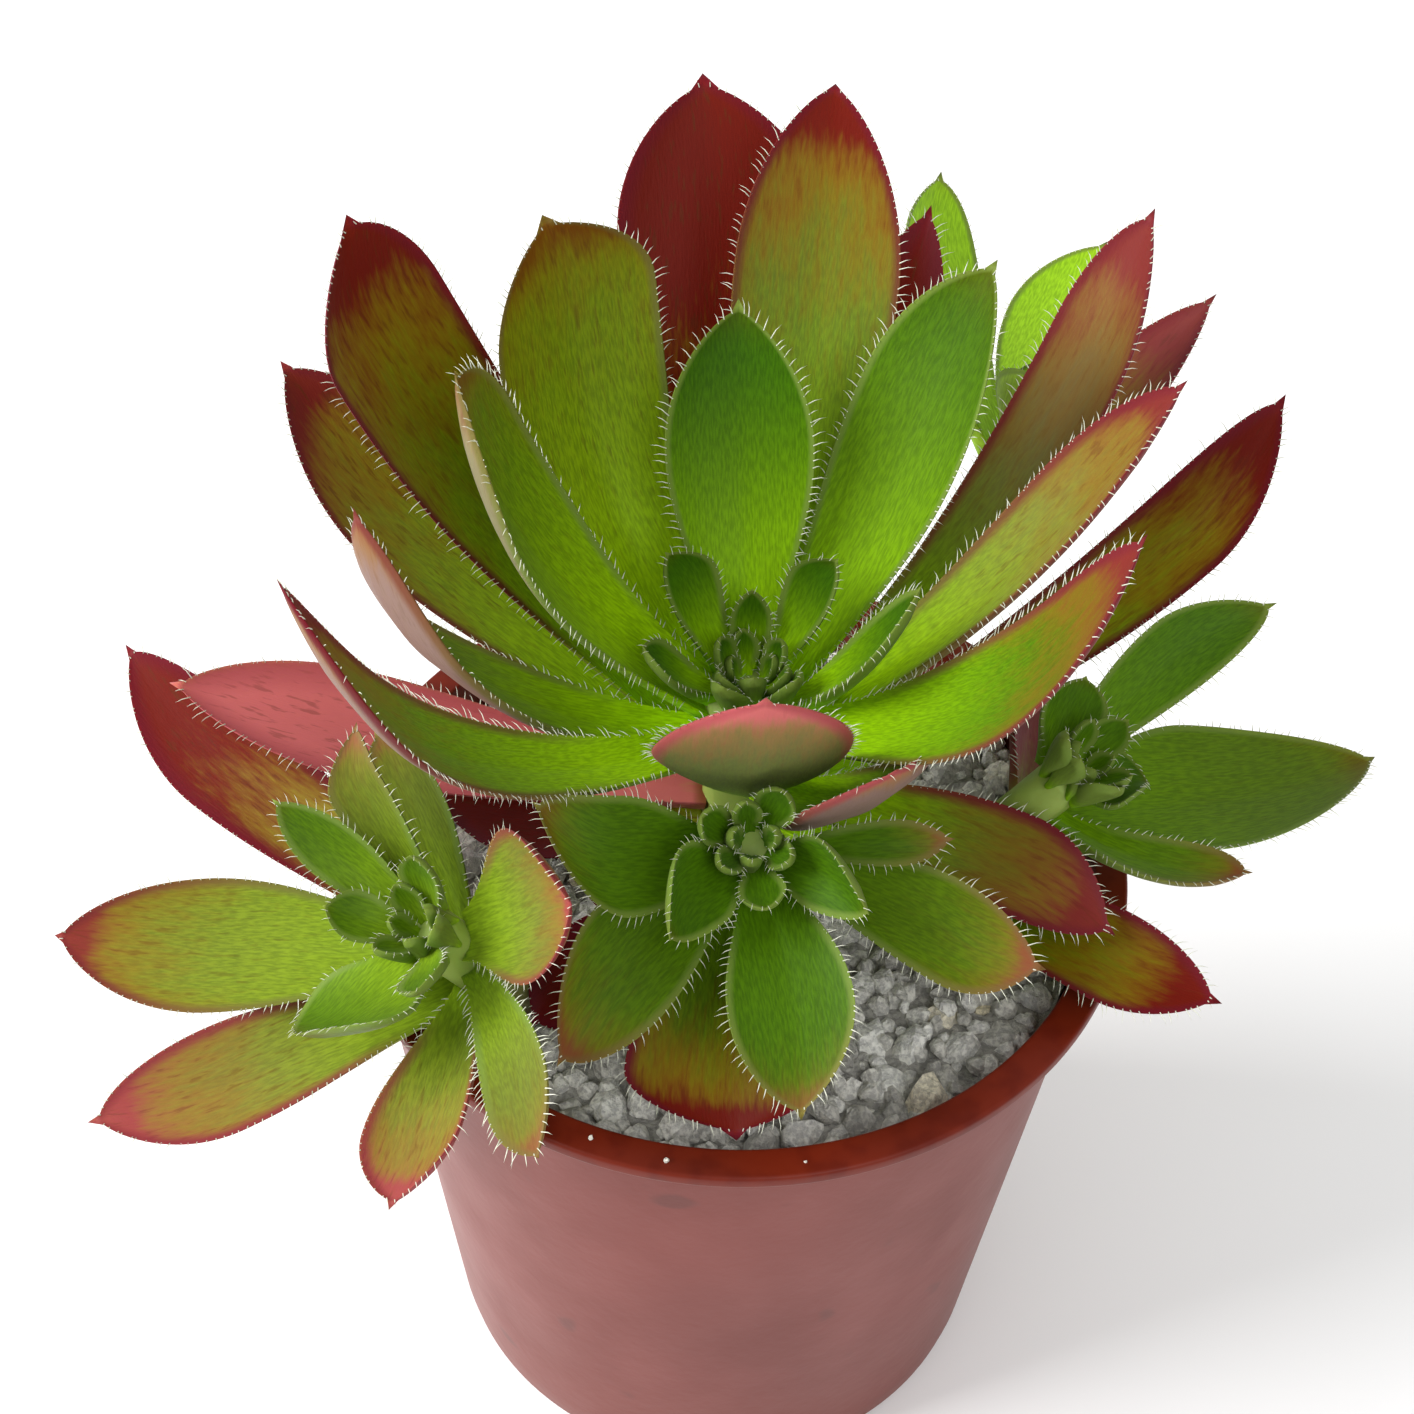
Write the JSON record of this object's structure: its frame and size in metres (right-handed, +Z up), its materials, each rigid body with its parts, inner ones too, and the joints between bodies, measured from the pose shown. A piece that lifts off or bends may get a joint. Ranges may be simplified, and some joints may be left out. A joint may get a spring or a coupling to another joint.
{
  "type": "potted succulent",
  "caption": "Hairy-leaved rosette succulent with side rosettes, rooted in grey pumice grit in a round tapered terracotta-coloured plastic nursery pot with a flat lip.",
  "frame": {"origin": "centre of the pot's flat foot, on the surface it stands on", "axes": "+Z up along the pot's axis, -Y towards the front of the plant, +X to the right of the front"},
  "size_m": [0.1056, 0.1003, 0.1107],
  "materials": {
    "terracotta_plastic": "satin moulded polypropylene, terracotta colour, darker red lip",
    "pumice_grit": "rough grey and white pumice grains",
    "stem": "pale green stem and unopened leaves",
    "leaf_red_green": "velvety fleshy leaf, green at the base, red at the tip and margin",
    "leaf_green": "velvety fleshy leaf, fresh green, fine white hairs on the margin",
    "leaf_silvery": "velvety fleshy leaf, silvery green with dusky red tip",
    "leaf_young": "velvety fleshy leaf, bright yellow-green"
  },
  "bodies": {
    "root": {"back_leaf_01": "leaf_young", "back_leaf_02": "leaf_young", "back_leaf_03": "leaf_young", "back_leaf_04": "leaf_young", "back_stem": "stem", "front_leaf_01": "leaf_green", "front_leaf_02": "leaf_green", "front_leaf_03": "leaf_green", "front_leaf_04": "leaf_green", "front_leaf_05": "leaf_green", "front_leaf_06": "leaf_green", "front_leaf_07": "leaf_green", "front_leaf_08": "leaf_green", "front_leaf_09": "leaf_green", "front_leaf_10": "leaf_green", "front_stem": "stem", "grit": "pumice_grit", "left_leaf_01": "leaf_silvery", "left_leaf_02": "leaf_silvery", "left_leaf_03": "leaf_silvery", "left_leaf_04": "leaf_silvery", "left_leaf_05": "leaf_silvery", "left_leaf_06": "leaf_silvery", "left_leaf_07": "leaf_silvery", "left_leaf_08": "leaf_silvery", "left_leaf_09": "leaf_silvery", "left_leaf_10": "leaf_silvery", "left_stem": "stem", "main_leaf_01": "leaf_red_green", "main_leaf_02": "leaf_red_green", "main_leaf_03": "leaf_red_green", "main_leaf_04": "leaf_red_green", "main_leaf_05": "leaf_red_green", "main_leaf_06": "leaf_red_green", "main_leaf_07": "leaf_red_green", "main_leaf_08": "leaf_red_green", "main_leaf_09": "leaf_red_green", "main_leaf_10": "leaf_red_green", "main_leaf_11": "leaf_red_green", "main_leaf_12": "leaf_red_green", "main_leaf_13": "leaf_red_green", "main_leaf_14": "leaf_red_green", "main_leaf_15": "leaf_red_green", "main_leaf_16": "leaf_red_green", "main_leaf_17": "leaf_red_green", "main_leaf_18": "leaf_red_green", "main_leaf_19": "leaf_red_green", "main_leaf_20": "leaf_red_green", "main_leaf_21": "leaf_red_green", "main_leaf_22": "leaf_red_green", "main_leaf_23": "leaf_red_green", "main_stem": "stem", "pot": "terracotta_plastic", "right_leaf_01": "leaf_green", "right_leaf_02": "leaf_green", "right_leaf_03": "leaf_green", "right_leaf_04": "leaf_green", "right_leaf_05": "leaf_green", "right_leaf_06": "leaf_green", "right_stem": "stem"}
  },
  "joints": []
}
